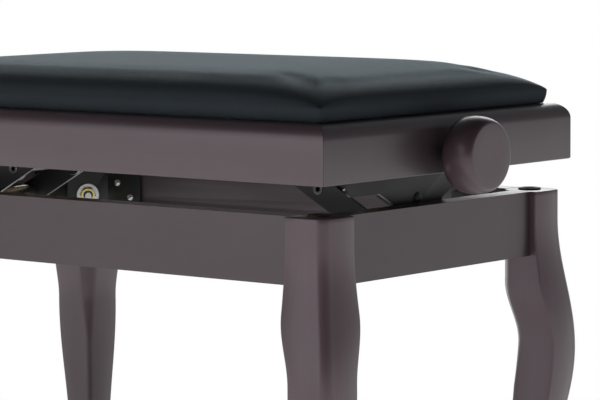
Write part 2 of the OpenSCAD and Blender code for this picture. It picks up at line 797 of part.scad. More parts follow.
module knob(sx) {
    color(wood_colour) end(sx) translate([knob_in, 0, spindle_z]) rotate([0, 90, 0]) difference() {
        rotate_extrude() polygon([for (p = concat([[0, 0]], knob_rise(), knob_fall(), [[knob_t, 0]])) [p[1], p[0]]]);
        translate([0, 0, -1]) cylinder(d = spindle_d, h = knob_bore + 1);
    }
}

leg(1, -1);  // leg_front_right
leg(-1, -1);  // leg_front_left
leg(1, 1);  // leg_back_right
leg(-1, 1);  // leg_back_left
apron_long(-1);  // apron_front
apron_long(1);  // apron_back
apron_side(1);  // apron_right
apron_side(-1);  // apron_left
corner_bracket(1, -1);  // corner_bracket_front_right
corner_bracket(-1, -1);  // corner_bracket_front_left
corner_bracket(1, 1);  // corner_bracket_back_right
corner_bracket(-1, 1);  // corner_bracket_back_left
hanger_bolts();
hanger_washers();
hanger_nuts();
bracket_screws();
leg_plugs();
foot_glides();
hinge_bracket(1);  // hinge_bracket_right
hinge_bracket(-1);  // hinge_bracket_left
hinge_bracket_screws();
hinge_pin(1);  // hinge_pin_right
hinge_pin(-1);  // hinge_pin_left
main_arm(1, -1);  // main_arm_right_front
main_arm(1, 1);  // main_arm_right_back
arm_spacer(1);  // arm_spacer_right
scissor_axle(1);  // scissor_axle_right
main_arm(-1, -1);  // main_arm_left_front
main_arm(-1, 1);  // main_arm_left_back
arm_spacer(-1);  // arm_spacer_left
scissor_axle(-1);  // scissor_axle_left
link(1, -1);  // link_right_front
link(1, 1);  // link_right_back
link(-1, -1);  // link_left_front
link(-1, 1);  // link_left_back
cross_bar(1);  // cross_bar_right
cross_bar(-1);  // cross_bar_left
spindle_nut(1);  // spindle_nut_right
spindle_nut(-1);  // spindle_nut_left
rim_long(-1);  // rim_front
rim_long(1);  // rim_back
rim_side(1);  // rim_right
rim_side(-1);  // rim_left
seat_board();
cushion();
seat_rail(-1);  // seat_rail_front
seat_rail(1);  // seat_rail_back
rail_screws();
link_pins();
end_plate(1);  // end_plate_right
end_plate(-1);  // end_plate_left
end_plate_screws();
tongue_rivets();
spindle_bushes();
spindle();
spindle_collars();
knob(1);  // knob_right
knob(-1);  // knob_left
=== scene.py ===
import json
import math

import bmesh
import bpy
import numpy as np
from mathutils import Matrix, Vector


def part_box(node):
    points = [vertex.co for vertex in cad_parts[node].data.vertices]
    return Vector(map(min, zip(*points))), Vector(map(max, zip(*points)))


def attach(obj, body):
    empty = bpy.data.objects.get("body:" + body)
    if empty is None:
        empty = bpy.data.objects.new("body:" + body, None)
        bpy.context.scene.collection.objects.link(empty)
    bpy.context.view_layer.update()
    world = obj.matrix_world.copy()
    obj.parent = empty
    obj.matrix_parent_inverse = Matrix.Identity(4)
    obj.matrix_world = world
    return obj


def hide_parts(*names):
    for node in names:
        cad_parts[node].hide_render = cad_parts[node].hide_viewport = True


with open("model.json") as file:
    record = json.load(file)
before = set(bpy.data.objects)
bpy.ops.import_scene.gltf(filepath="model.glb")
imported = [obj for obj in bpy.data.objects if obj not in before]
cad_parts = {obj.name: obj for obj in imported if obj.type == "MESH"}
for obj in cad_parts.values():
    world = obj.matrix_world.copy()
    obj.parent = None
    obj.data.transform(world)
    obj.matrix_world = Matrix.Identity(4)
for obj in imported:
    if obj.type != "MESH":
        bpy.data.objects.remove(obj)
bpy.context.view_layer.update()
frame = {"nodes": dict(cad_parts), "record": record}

NODES = frame["nodes"]
RECORD = frame["record"]
BODY_OF = {node: body for body, nodes in RECORD["behaviour"]["bodies"].items() for node in nodes}
SLOT_OF = {part["node"]: part["material_slot"] for part in RECORD["subparts"]}
X, Y, Z = Vector((1, 0, 0)), Vector((0, 1, 0)), Vector((0, 0, 1))
MM = 0.001


# ---------- camera ----------

CAMERA_PLACE = (1.75196, -2.01162, 0.608655)
CAMERA_AZIMUTH = math.radians(38.997)     # turned from straight behind the front apron
CAMERA_DOWN = math.radians(5.395)
CAMERA_ROLL = math.radians(-0.320)
CAMERA_LENS = 183.04


def add_camera():
    data = bpy.data.cameras.new("camera")
    data.lens = CAMERA_LENS
    data.sensor_width = 36
    data.clip_end = 60
    camera = bpy.data.objects.new("camera", data)
    bpy.context.scene.collection.objects.link(camera)
    turn = Matrix.Rotation(CAMERA_AZIMUTH, 4, "Z")
    tilt = Matrix.Rotation(math.radians(90) - CAMERA_DOWN, 4, "X")
    roll = Matrix.Rotation(CAMERA_ROLL, 4, "Z")
    camera.matrix_world = Matrix.Translation(CAMERA_PLACE) @ turn @ tilt @ roll
    bpy.context.scene.camera = camera


# ---------- shader helpers ----------

def empty_tree(owner):
    owner.use_nodes = True
    owner.node_tree.nodes.clear()
    return owner.node_tree


def new_material(name):
    material = bpy.data.materials.new(name)
    tree = empty_tree(material)
    shader = tree.nodes.new("ShaderNodeBsdfPrincipled")
    out = tree.nodes.new("ShaderNodeOutputMaterial")
    tree.links.new(shader.outputs["BSDF"], out.inputs["Surface"])
    return material, tree, shader


def add(tree, kind, **settings):
    """A node with its settings: attributes by name, and input values under inputs."""
    node = tree.nodes.new(kind)
    for key, value in settings.pop("inputs", {}).items():
        node.inputs[key].default_value = value
    for key, value in settings.items():
        setattr(node, key, value)
    return node


def new_group(name, inputs, outputs):
    """An empty node group; inputs are (name, kind, value) and outputs (name, kind)."""
    group = bpy.data.node_groups.new(name, "ShaderNodeTree")
    for label, kind, value in inputs:
        socket = group.interface.new_socket(name=label, in_out="INPUT", socket_type=kind)
        if value is not None:
            socket.default_value = value
    for label, kind in outputs:
        group.interface.new_socket(name=label, in_out="OUTPUT", socket_type=kind)
    return group, group.nodes.new("NodeGroupInput"), group.nodes.new("NodeGroupOutput")


def place_group(tree, group, **values):
    node = add(tree, "ShaderNodeGroup", node_tree=group)
    for key, value in values.items():
        node.inputs[key].default_value = value
    return node


def fill(tree, socket, value):
    """Links a socket to another one, or sets its own value."""
    if isinstance(value, bpy.types.NodeSocket):
        tree.links.new(value, socket)
    else:
        socket.default_value = value


def math_node(tree, operation, a, b=None, clamp=False):
    node = add(tree, "ShaderNodeMath", operation=operation, use_clamp=clamp)
    fill(tree, node.inputs[0], a)
    if b is not None:
        fill(tree, node.inputs[1], b)
    return node.outputs[0]


def colour_mix(tree, factor, a, b):
    node = add(tree, "ShaderNodeMix", data_type="RGBA")
    for index, value in ((0, factor), (6, a), (7, b)):
        fill(tree, node.inputs[index], value)
    return node.outputs[2]


def rgb(r, g, b):
    return (r, g, b, 1.0)


# ---------- effects that several finishes share ----------

def grain_group():
    """Fine wood grain: long streaks along the input vector's X, and open pores."""
    group, given, made = new_group(
        "wood_grain",
        [("Vector", "NodeSocketVector", None), ("Streaks", "NodeSocketFloat", 1.0)],
        [("Tone", "NodeSocketFloat"), ("Height", "NodeSocketFloat")])
    link = group.links.new
    stretch = add(group, "ShaderNodeMapping", inputs={"Scale": (1.2, 26, 26)})
    link(given.outputs["Vector"], stretch.inputs["Vector"])
    streaks = add(group, "ShaderNodeTexNoise",
                  inputs={"Scale": 9.0, "Detail": 6.0, "Roughness": 0.6, "Distortion": 0.35})
    link(stretch.outputs["Vector"], streaks.inputs["Vector"])
    pore_map = add(group, "ShaderNodeMapping", inputs={"Scale": (14, 420, 420)})
    link(given.outputs["Vector"], pore_map.inputs["Vector"])
    pores = add(group, "ShaderNodeTexNoise", inputs={"Scale": 3.0, "Detail": 2.0, "Roughness": 0.5})
    link(pore_map.outputs["Vector"], pores.inputs["Vector"])
    cloud = add(group, "ShaderNodeTexNoise", inputs={"Scale": 7.0, "Detail": 2.0})
    link(given.outputs["Vector"], cloud.inputs["Vector"])
    centred = math_node(group, "SUBTRACT", streaks.outputs["Fac"], 0.5)
    scaled = math_node(group, "MULTIPLY", centred, given.outputs["Streaks"])
    clouded = math_node(group, "MULTIPLY", math_node(group, "SUBTRACT", cloud.outputs["Fac"], 0.5), 0.5)
    tone = math_node(group, "ADD", math_node(group, "ADD", scaled, clouded), 0.5, clamp=True)
    link(tone, made.inputs["Tone"])
    link(math_node(group, "ADD", math_node(group, "MULTIPLY", pores.outputs["Fac"], 0.6),
                   math_node(group, "MULTIPLY", streaks.outputs["Fac"], 0.4)), made.inputs["Height"])
    return group


def wear_group():
    """Mask of convex edges, broken up by noise: 0 on flats, 1 on a rubbed edge."""
    group, given, made = new_group(
        "edge_wear",
        [("Vector", "NodeSocketVector", None), ("Reach", "NodeSocketFloat", 0.56)],
        [("Mask", "NodeSocketFloat")])
    link = group.links.new
    geometry = add(group, "ShaderNodeNewGeometry")
    patches = add(group, "ShaderNodeTexNoise", inputs={"Scale": 90.0, "Detail": 4.0, "Roughness": 0.65})
    link(given.outputs["Vector"], patches.inputs["Vector"])
    over = math_node(group, "SUBTRACT", geometry.outputs["Pointiness"], given.outputs["Reach"])
    steep = math_node(group, "MULTIPLY", over, 12.0, clamp=True)
    broken = math_node(group, "MULTIPLY", steep, patches.outputs["Fac"], clamp=True)
    link(broken, made.inputs["Mask"])
    return group


def fine_group():
    """Small unevenness of a coated or plated surface: a roughness offset and a height."""
    group, given, made = new_group(
        "fine_unevenness",
        [("Vector", "NodeSocketVector", None), ("Size", "NodeSocketFloat", 900.0),
         ("Smudges", "NodeSocketFloat", 22.0)],
        [("Mottle", "NodeSocketFloat"), ("Height", "NodeSocketFloat")])
    link = group.links.new
    grit = add(group, "ShaderNodeTexNoise", inputs={"Detail": 2.0, "Roughness": 0.6})
    link(given.outputs["Vector"], grit.inputs["Vector"])
    link(given.outputs["Size"], grit.inputs["Scale"])
    smudge = add(group, "ShaderNodeTexNoise", inputs={"Detail": 5.0, "Roughness": 0.62, "Distortion": 0.4})
    link(given.outputs["Vector"], smudge.inputs["Vector"])
    link(given.outputs["Smudges"], smudge.inputs["Scale"])
    link(smudge.outputs["Fac"], made.inputs["Mottle"])
    link(grit.outputs["Fac"], made.inputs["Height"])
    return group


GRAIN = grain_group()
WEAR = wear_group()
FINE = fine_group()


def own_coordinates(tree, turn=(0, 0, 0), shift=(0, 0, 0)):
    """The piece's own coordinates in metres, turned so that X runs the way the finish needs."""
    coordinates = add(tree, "ShaderNodeTexCoord")
    mapping = add(tree, "ShaderNodeMapping", inputs={"Rotation": turn, "Location": shift})
    tree.links.new(coordinates.outputs["Object"], mapping.inputs["Vector"])
    return mapping.outputs["Vector"]


def map_range(tree, source, start, end, low=0.0, high=1.0, kind="LINEAR"):
    node = add(tree, "ShaderNodeMapRange", interpolation_type=kind,
               inputs={"From Min": start, "From Max": end, "To Min": low, "To Max": high})
    tree.links.new(source, node.inputs["Value"])
    return node.outputs["Result"]


def spread(tree, mask, low, high):
    """Maps a 0-1 mask to the range low-high."""
    return map_range(tree, mask, 0.0, 1.0, low, high)


def vector_math(tree, operation, source, other=(0, 0, 0)):
    node = add(tree, "ShaderNodeVectorMath", operation=operation, inputs={1: other})
    tree.links.new(source, node.inputs[0])
    return node.outputs


def mix_shaders(tree, factor, a, b):
    node = add(tree, "ShaderNodeMixShader")
    for index, source in enumerate((factor, a, b)):
        tree.links.new(source, node.inputs[index])
    return node.outputs["Shader"]


def bump(tree, shader, height, distance, strength=1.0):
    node = add(tree, "ShaderNodeBump", inputs={"Strength": strength, "Distance": distance})
    tree.links.new(height, node.inputs["Height"])
    tree.links.new(node.outputs["Normal"], shader.inputs["Normal"])


def feed(tree, source, node, *names):
    for name in names:
        tree.links.new(source, node.inputs[name])


# ---------- finishes ----------

WOOD_DARK = rgb(0.042, 0.023, 0.029)
WOOD_LIGHT = rgb(0.070, 0.044, 0.053)
WOOD_RUBBED = rgb(0.120, 0.085, 0.090)
GRAIN_TURNS = {"x": (0, 0, 0), "y": (0, 0, math.pi / 2), "z": (0, math.pi / 2, 0)}


# how much of its colour each board keeps under painted shade, which darkens it towards black; the legs and
# the boards not named here are 1, with no painted shade
PAINTED_SHADE_LEVEL = {"apron_front": 0.55, "apron_back": 0.55, "apron_right": 0.45, "apron_left": 0.55,
         "rim_front": 0.85, "rim_right": 0.45, "rim_left": 0.45, "knob_right": 0.85, "knob_left": 0.85}


def wood_stain_and_painted_shade(along, shift, board):
    """Dark mahogany stain under a satin lacquer, its grain along one axis and shifted from board to board,
    with painted shade darkening some boards.
    """
    name = f"stained_wood_{along}_{round(shift)}"
    if name in bpy.data.materials:
        return bpy.data.materials[name]
    material, tree, shader = new_material(name)
    place = own_coordinates(tree, GRAIN_TURNS[along], (shift, 0.37 * shift, 0.19 * shift))
    grain = place_group(tree, GRAIN, Streaks=0.55)
    wear = place_group(tree, WEAR, Reach=0.54)
    fine = place_group(tree, FINE, Size=700.0, Smudges=14.0)
    for node in (grain, wear, fine):
        feed(tree, place, node, "Vector")
    stained = colour_mix(tree, grain.outputs["Tone"], WOOD_DARK, WOOD_LIGHT)
    rubbed = colour_mix(tree, math_node(tree, "MULTIPLY", wear.outputs["Mask"], 0.5), stained, WOOD_RUBBED)
    # painted shade: the board's colour is mixed towards black by its level in the table above
    feed(tree, colour_mix(tree, 1 - PAINTED_SHADE_LEVEL.get(board, 1.0), rubbed, rgb(0, 0, 0)), shader, "Base Color")
    feed(tree, spread(tree, fine.outputs["Mottle"], 0.36, 0.50), shader, "Roughness")
    height = math_node(tree, "ADD", math_node(tree, "MULTIPLY", grain.outputs["Height"], 0.7),
                       math_node(tree, "MULTIPLY", fine.outputs["Height"], 0.3))
    bump(tree, shader, height, 0.00003)
    shader.inputs["Specular Tint"].default_value = rgb(1.0, 0.93, 1.0)
    shader.inputs["Coat Weight"].default_value = 0.40
    shader.inputs["Coat Roughness"].default_value = 0.26
    return material


def plywood():
    material, tree, shader = new_material("plywood")
    place = own_coordinates(tree)
    grain = place_group(tree, GRAIN, Streaks=1.3)
    feed(tree, place, grain, "Vector")
    face = colour_mix(tree, grain.outputs["Tone"], rgb(0.30, 0.20, 0.115), rgb(0.52, 0.41, 0.27))
    plies = add(tree, "ShaderNodeTexWave", bands_direction="Z",
                inputs={"Scale": 110.0, "Distortion": 1.2, "Detail": 2.0, "Detail Scale": 1.5})
    feed(tree, place, plies, "Vector")
    geometry = add(tree, "ShaderNodeNewGeometry")
    upright = add(tree, "ShaderNodeSeparateXYZ")
    feed(tree, geometry.outputs["Normal"], upright, "Vector")
    flat = math_node(tree, "ABSOLUTE", upright.outputs["Z"])
    on_edge = math_node(tree, "MULTIPLY", math_node(tree, "SUBTRACT", 1.0, flat, clamp=True),
                        plies.outputs["Fac"], clamp=True)
    feed(tree, colour_mix(tree, on_edge, face, rgb(0.16, 0.10, 0.055)), shader, "Base Color")
    feed(tree, spread(tree, grain.outputs["Tone"], 0.62, 0.78), shader, "Roughness")
    bump(tree, shader, grain.outputs["Height"], 0.00010)
    return material


def velour():
    """Short black pile with a cool sheen where it is seen at a low angle."""
    material, tree, shader = new_material("velour")
    place = own_coordinates(tree)
    nap = add(tree, "ShaderNodeTexNoise",
              inputs={"Scale": 16.0, "Detail": 5.0, "Roughness": 0.6, "Distortion": 0.7})
    pile = add(tree, "ShaderNodeTexNoise", inputs={"Scale": 2600.0, "Detail": 2.0, "Roughness": 0.7})
    rows = add(tree, "ShaderNodeTexVoronoi", inputs={"Scale": 1500.0})
    for node in (nap, pile, rows):
        feed(tree, place, node, "Vector")
    brushed = colour_mix(tree, nap.outputs["Fac"], rgb(0.010, 0.014, 0.017), rgb(0.019, 0.025, 0.030))
    tips = colour_mix(tree, math_node(tree, "MULTIPLY", pile.outputs["Fac"], 0.35), brushed,
                      rgb(0.034, 0.042, 0.050))
    feed(tree, tips, shader, "Base Color")
    feed(tree, spread(tree, nap.outputs["Fac"], 0.80, 0.95), shader, "Roughness")
    height = math_node(tree, "ADD", math_node(tree, "MULTIPLY", pile.outputs["Fac"], 0.7),
                       math_node(tree, "MULTIPLY", rows.outputs["Distance"], 0.5))
    bump(tree, shader, height, 0.00025, 0.8)
    shader.inputs["Sheen Weight"].default_value = 1.0
    shader.inputs["Sheen Roughness"].default_value = 0.19
    shader.inputs["Sheen Tint"].default_value = rgb(0.78, 0.93, 1.0)
    shader.inputs["Specular IOR Level"].default_value = 0.15
    return material


def metal(name, dark, light, roughness, metallic=1.0, height=0.00002, size=1400.0, worn=None):
    """A plated, coated or bare steel finish from two tones, with an optional tone on rubbed edges."""
    material, tree, shader = new_material(name)
    place = own_coordinates(tree)
    fine = place_group(tree, FINE, Size=size, Smudges=45.0)
    feed(tree, place, fine, "Vector")
    colour = colour_mix(tree, fine.outputs["Mottle"], dark, light)
    if worn is not None:
        wear = place_group(tree, WEAR, Reach=0.57)
        feed(tree, place, wear, "Vector")
        colour = colour_mix(tree, wear.outputs["Mask"], colour, worn)
    feed(tree, colour, shader, "Base Color")
    feed(tree, spread(tree, fine.outputs["Mottle"], roughness - 0.07, roughness + 0.09), shader, "Roughness")
    bump(tree, shader, fine.outputs["Height"], height)
    shader.inputs["Metallic"].default_value = metallic
    return material


BLACK_STEEL = metal("black_steel", rgb(0.003, 0.0045, 0.004), rgb(0.007, 0.009, 0.008), 0.40,
                    0.0, 0.00004, 1100.0, worn=rgb(0.06, 0.065, 0.06))
CUT_EDGE = metal("cut_edge", rgb(0.16, 0.17, 0.165), rgb(0.34, 0.35, 0.34), 0.36, 0.85)
DULL_STEEL = metal("dull_steel", rgb(0.10, 0.105, 0.10), rgb(0.19, 0.195, 0.19), 0.36)
ZINC_STEEL = metal("zinc_steel", rgb(0.50, 0.51, 0.52), rgb(0.68, 0.69, 0.70), 0.27)
YELLOW_ZINC = metal("yellow_zinc", rgb(0.60, 0.50, 0.15), rgb(0.80, 0.72, 0.34), 0.25)
BLACK_PLASTIC = metal("black_plastic", rgb(0.008, 0.008, 0.009), rgb(0.016, 0.016, 0.018), 0.62,
                      0.0, 0.00005, 1500.0)
# painted shade: the white nylon is given a dark grey, the look of the bushes in the shaded gap under the seat
WHITE_NYLON_IN_PAINTED_SHADE = metal("white_nylon", rgb(0.20, 0.19, 0.19), rgb(0.30, 0.29, 0.28), 0.42, 0.0, 0.00003, 900.0)
PLYWOOD = plywood()
VELOUR = velour()
FINISH = {"plywood": PLYWOOD, "velour": VELOUR, "black_steel": BLACK_STEEL, "zinc_steel": ZINC_STEEL,
          "yellow_zinc": YELLOW_ZINC, "black_plastic": BLACK_PLASTIC, "white_nylon": WHITE_NYLON_IN_PAINTED_SHADE}


# ---------- mesh helpers ----------

def finish_piece(name, mesh, materials, node, smooth=40):
    """Makes a piece from a mesh: shaded, on the node's body, and in its place."""
    piece = bpy.data.objects.new(name, mesh)
    bpy.context.scene.collection.objects.link(piece)
    for material in materials:
        mesh.materials.append(material)
    mesh.polygons.foreach_set("use_smooth", [True] * len(mesh.polygons))
    mesh.set_sharp_from_angle(angle=math.radians(smooth))
    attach(piece, BODY_OF[node])
    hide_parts(node)
    return piece


def mesh_from(name, verts, faces):
    mesh = bpy.data.meshes.new(name)
    mesh.from_pydata([tuple(v) for v in verts], [], faces)
    mesh.validate()
    form = bmesh.new()
    form.from_mesh(mesh)
    bmesh.ops.recalc_face_normals(form, faces=form.faces)
    form.to_mesh(mesh)
    form.free()
    return mesh


class Form:
    """Collects vertices and faces of several solids, each placed by a matrix."""

    def __init__(self):
        self.verts, self.faces = [], []

    def put(self, verts, faces, matrix=Matrix.Identity(4)):
        start = len(self.verts)
        self.verts += [matrix @ Vector(v) for v in verts]
        self.faces += [[start + i for i in face] for face in faces]

    def mesh(self, name):
        return mesh_from(name, self.verts, self.faces)


def circle(radius, height, count):
    turns = [2 * math.pi * i / count for i in range(count)]
    return [(radius * math.cos(a), radius * math.sin(a), height) for a in turns]


def bands(rows):
    """Faces between neighbouring rings of point numbers; a ring of one point closes an end."""
    faces = []
    for low, high in zip(rows, rows[1:]):
        count = max(len(low), len(high))
        for i in range(count):
            j = (i + 1) % count
            if len(low) == 1:
                faces.append([low[0], high[j], high[i]])
            elif len(high) == 1:
                faces.append([low[i], low[j], high[0]])
            else:
                faces.append([low[i], low[j], high[j], high[i]])
    return faces


def number_rows(count, length):
    """Point numbers of rings that follow each other, all of one length."""
    return [list(range(k * length, (k + 1) * length)) for k in range(count)]


def rings_solid(rings):
    """Closed solid through a stack of rings with equal point counts."""
    rows = number_rows(len(rings), len(rings[0]))
    return [p for ring in rings for p in ring], bands(rows) + [rows[0][::-1], rows[-1]]


def lathe(profile, segments=48):
    """Turned solid about +Z through (height, radius) points; a radius of 0 closes an end."""
    verts, rows = [], []
    for height, radius in profile:
        ring = circle(radius, height, segments) if radius else [(0, 0, height)]
        rows.append(range(len(verts), len(verts) + len(ring)))
        verts += ring
    return verts, bands(rows)


def lathe_ring(profile, segments=48):
    """Turned ring about +Z through a closed loop of (height, radius) points."""
    count = len(profile)
    verts = [(r * math.cos(2 * math.pi * i / segments), r * math.sin(2 * math.pi * i / segments), h)
             for i in range(segments) for h, r in profile]
    faces = [[i * count + k, i * count + (k + 1) % count,
              ((i + 1) % segments) * count + (k + 1) % count, ((i + 1) % segments) * count + k]
             for i in range(segments) for k in range(count)]
    return verts, faces


def toward(origin, direction):
    """Matrix that puts local +Z along a direction, at an origin."""
    turn = Vector(direction).to_track_quat("Z", "Y").to_matrix().to_4x4()
    return Matrix.Translation(origin) @ turn


def islands(node):
    """The corner points of each separate solid in a CAD node, as arrays."""
    form = bmesh.new()
    form.from_mesh(NODES[node].data)
    bmesh.ops.remove_doubles(form, verts=form.verts, dist=1e-6)
    found, seen = [], set()
    for start in form.verts:
        if start in seen:
            continue
        stack, group = [start], []
        seen.add(start)
        while stack:
            vert = stack.pop()
            group.append(tuple(vert.co))
            for edge in vert.link_edges:
                other = edge.other_vert(vert)
                if other not in seen:
                    seen.add(other)
                    stack.append(other)
        found.append(np.array(group))
    form.free()
    return found


def clean_copy(node):
    """A CAD node's mesh, with its triangles joined into plane faces."""
    form = bmesh.new()
    form.from_mesh(NODES[node].data)
    bmesh.ops.remove_doubles(form, verts=form.verts, dist=1e-6)
    bmesh.ops.dissolve_limit(form, angle_limit=math.radians(0.5), verts=form.verts, edges=form.edges)
    mesh = bpy.data.meshes.new(node + "_finished")
    form.to_mesh(mesh)
    form.free()
    return mesh


def soften(piece, width, segments=3, material=-1, angle=30):
    """Rounds a piece's sharp edges."""
    bevel = piece.modifiers.new("rounded_edges", "BEVEL")
    bevel.width = width
    bevel.segments = segments
    bevel.limit_method = "ANGLE"
    bevel.angle_limit = math.radians(angle)
    bevel.material = material
    return piece


def finished(node, width, materials=None, segments=3, material=-1, smooth=40):
    """A CAD node with softened edges and its finish."""
    materials = materials or [FINISH[SLOT_OF[node]]]
    piece = finish_piece(node + "_finished", clean_copy(node), materials, node, smooth)
    return soften(piece, width, segments, material)


# ---------- sizes taken from the frame ----------

LEG_KNEE_OUT = 11 * MM
LEG_BLOCK = 40 * MM
LOW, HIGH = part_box("leg_back_right")
HALF_LENGTH = HIGH.x - LEG_KNEE_OUT
HALF_WIDTH = HIGH.y - LEG_KNEE_OUT
LEG_TOP, LEG_FOOT = HIGH.z, LOW.z
RIM_LOW, RIM_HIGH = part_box("rim_front")[0].z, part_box("rim_front")[1].z
RIM_HALF_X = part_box("rim_right")[1].x
RIM_HALF_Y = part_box("rim_back")[1].y
SPINDLE_Z = (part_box("spindle")[0].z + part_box("spindle")[1].z) / 2
CORNERS = [(1, -1), (-1, -1), (1, 1), (-1, 1)]
END_NAME = {1: "right", -1: "left"}
SIDE_NAME = {1: "back", -1: "front"}


# ---------- base ----------

LEG_CORNER = 9 * MM            # radius of the outer corner
LEG_CHAMFER = 12 * MM          # the inner corner's cut on the block,
LEG_INNER_LEAST = 1 * MM       # which tapers to this
TAPER_RUN = 94 * MM            # over this length
LEG_EDGE = 1.6 * MM
LEG_CROWN = 1.2 * MM           # how far the faces bulge; the inner ones do so only below the block
KNEE_START = 24 * MM           # depths below the leg's top: where the outer face leaves the block,
KNEE_DROP = 137 * MM           # where it stands out furthest,
INNER_START = 77 * MM          # the same two for the inner face,
INNER_KNEE_DROP = 134 * MM
ANKLE_DROP = 275 * MM          # and the thinnest place
ANKLE_IN = 7 * MM
ANKLE_SIDE = 28 * MM
FOOT_OUT = 3 * MM
FOOT_SIDE = 36 * MM


def ease(low, high, share):
    share = min(1.0, max(0.0, share))
    return low + (high - low) * (1 - math.cos(math.pi * share)) / 2


def leg_faces(depth):
    """How far a leg's outer and inner faces stand outwards at a depth below its top."""
    height = LEG_TOP - LEG_FOOT
    to_foot = (depth - ANKLE_DROP) / (height - ANKLE_DROP)
    if depth < KNEE_DROP:
        outer = ease(0, LEG_KNEE_OUT, (depth - KNEE_START) / (KNEE_DROP - KNEE_START))
    elif depth < ANKLE_DROP:
        outer = ease(LEG_KNEE_OUT, -ANKLE_IN, (depth - KNEE_DROP) / (ANKLE_DROP - KNEE_DROP))
    else:
        outer = ease(-ANKLE_IN, FOOT_OUT, to_foot)
    ankle_inner = LEG_BLOCK - ANKLE_IN - ANKLE_SIDE
    foot_inner = LEG_BLOCK + FOOT_OUT - FOOT_SIDE
    if depth < INNER_KNEE_DROP:
        inner = ease(0, LEG_KNEE_OUT, (depth - INNER_START) / (INNER_KNEE_DROP - INNER_START))
    elif depth < ANKLE_DROP:
        share = (depth - INNER_KNEE_DROP) / (ANKLE_DROP - INNER_KNEE_DROP)
        inner = ease(LEG_KNEE_OUT, ankle_inner, share)
    else:
        inner = ease(ankle_inner, foot_inner, to_foot)
    return outer, inner


def arc(centre_x, centre_y, radius, start, end, steps):
    turns = [math.radians(start + (end - start) * i / steps) for i in range(steps + 1)]
    return [(centre_x + radius * math.cos(a), centre_y + radius * math.sin(a)) for a in turns]


def crowned(start, end, rise, steps=8):
    """Points between two corners of an outer face, bulging outwards by rise at the middle."""
    (ax, ay), (bx, by) = start, end
    span = math.hypot(bx - ax, by - ay)
    out_x, out_y = (by - ay) / span, (ax - bx) / span
    points = []
    for i in range(1, steps):
        share = i / steps
        bulge = rise * 4 * share * (1 - share)
        points.append((ax + (bx - ax) * share + out_x * bulge, ay + (by - ay) * share + out_y * bulge))
    return points


def leg_ring(depth, inset=0.0):
    """A leg's outline at one depth, from its block's inner corner."""
    outer, inner = leg_faces(depth)
    low, high = inner + inset, LEG_BLOCK + outer - inset
    taper = min(1.0, max(0.0, (depth - INNER_START) / TAPER_RUN))
    cut = LEG_CHAMFER + (LEG_INNER_LEAST - LEG_CHAMFER) * taper
    first = arc(high - LEG_EDGE, low + LEG_EDGE, LEG_EDGE, -90, 0, 4)
    corner = arc(high - LEG_CORNER, high - LEG_CORNER, LEG_CORNER, 0, 90, 12)
    last = arc(low + LEG_EDGE, high - LEG_EDGE, LEG_EDGE, 90, 180, 4)
    start, end = (low + cut, low), (low, low + cut)
    inner_crown = ease(0, LEG_CROWN, (depth - INNER_START) / (INNER_KNEE_DROP - INNER_START))
    return ([start] + crowned(start, first[0], inner_crown) + first
            + crowned(first[-1], corner[0], LEG_CROWN) + corner
            + crowned(corner[-1], last[0], LEG_CROWN) + last
            + crowned(last[-1], end, inner_crown) + [end])


def add_legs():
    height = LEG_TOP - LEG_FOOT
    count = 84
    stations = [(height, 0.8 * MM), (height - 0.8 * MM, 0)]
    stations += [(height * i / count, 0) for i in range(count - 1, 0, -1)]
    stations += [(0.9 * MM, 0), (0.4 * MM, 0.16 * MM), (0.12 * MM, 0.5 * MM), (0, 0.95 * MM)]
    corner_x, corner_y = HALF_LENGTH - LEG_BLOCK, HALF_WIDTH - LEG_BLOCK
    rings = [[(corner_x + x, corner_y + y, LEG_TOP - depth) for x, y in leg_ring(depth, inset)]
             for depth, inset in stations]
    for sx, sy in CORNERS:
        node = f"leg_{SIDE_NAME[sy]}_{END_NAME[sx]}"
        verts, faces = rings_solid(rings)
        verts = [(sx * x, sy * y, z) for x, y, z in verts]
        mesh = mesh_from(node + "_turned", verts, faces)
        finish_piece(node + "_shaped", mesh, [wood_stain_and_painted_shade("z", 2.0 * sx + 3.0 * sy + 6.0, node)], node, 50)


def add_aprons():
    for node, along, shift in (("apron_front", "x", 1.0), ("apron_back", "x", 4.0),
                               ("apron_right", "y", 2.0), ("apron_left", "y", 5.0)):
        finished(node, 1.3 * MM, [wood_stain_and_painted_shade(along, shift, node)], 4)


PLUG_RISE = 1.6 * MM
PLUG_STEM, PLUG_STEM_LONG = 5 * MM, 10 * MM


def add_plugs():
    """Moulded caps in the leg tops: a flat rim round a shallow dished middle."""
    form = Form()
    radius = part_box("leg_plugs")[1].x - (HALF_LENGTH - LEG_BLOCK / 2)
    cap = [(0, 1), (0.5, 1), (0.85, 0.965), (1, 0.90), (1, 0.62), (0.8, 0.56), (0.55, 0.50), (0.5, 0)]
    profile = [(-PLUG_STEM_LONG, 0), (-PLUG_STEM_LONG, PLUG_STEM), (0, PLUG_STEM)]
    profile += [(height * PLUG_RISE, share * radius) for height, share in cap]
    verts, faces = lathe(profile, 56)
    for sx, sy in CORNERS:
        place = (sx * (HALF_LENGTH - LEG_BLOCK / 2), sy * (HALF_WIDTH - LEG_BLOCK / 2), LEG_TOP)
        form.put(verts, faces, Matrix.Translation(place))
    finish_piece("leg_caps", form.mesh("leg_caps"), [BLACK_PLASTIC], "leg_plugs", 35)


GLIDE_PIN, GLIDE_PIN_LONG = 2.5 * MM, 12 * MM


